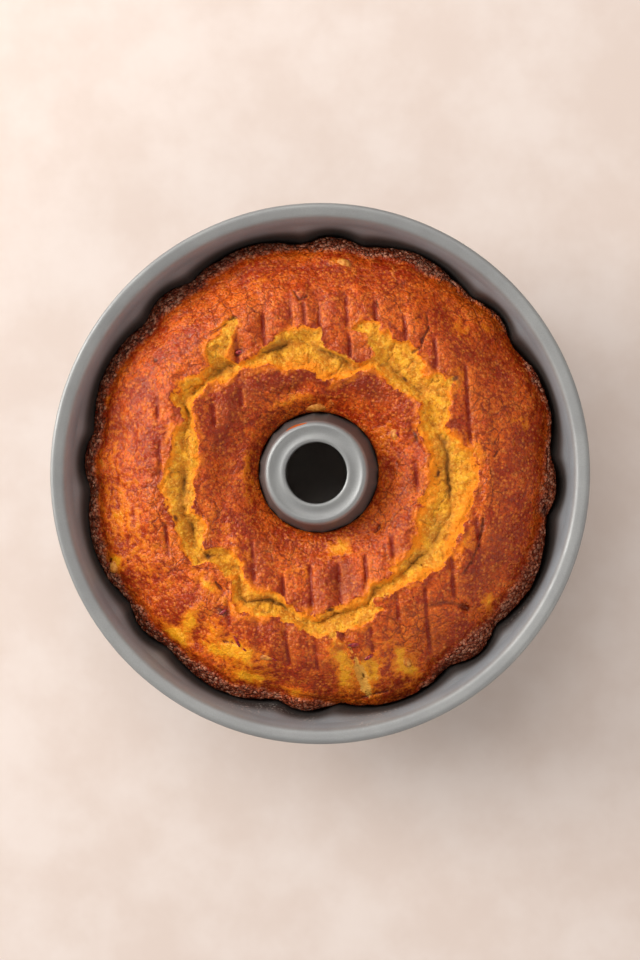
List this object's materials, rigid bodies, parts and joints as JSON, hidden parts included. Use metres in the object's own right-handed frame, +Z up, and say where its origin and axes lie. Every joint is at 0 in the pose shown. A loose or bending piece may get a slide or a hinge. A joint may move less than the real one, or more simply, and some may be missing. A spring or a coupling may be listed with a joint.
{
  "type": "peach pound cake in its pan",
  "caption": "Whole ring-shaped peach pound cake with a cracked golden top, still in its fluted round metal tube pan.",
  "frame": {"origin": "centre of the pan's footprint, on the surface it stands on", "axes": "+Z up along the pan's tube; +X and +Y each through a narrow flute"},
  "size_m": [0.2496, 0.2496, 0.088],
  "materials": {
    "pan_metal": "satin grey non-stick metal",
    "cake_crust": "baked golden brown crust over yellow crumb, satin",
    "peach_flesh": "moist baked peach"
  },
  "bodies": {
    "root": {"pan": "pan_metal", "cake": "cake_crust", "peach_piece_1": "peach_flesh", "peach_piece_2": "peach_flesh", "peach_piece_3": "peach_flesh", "peach_piece_4": "peach_flesh", "peach_piece_5": "peach_flesh", "peach_piece_6": "peach_flesh"}
  },
  "joints": []
}
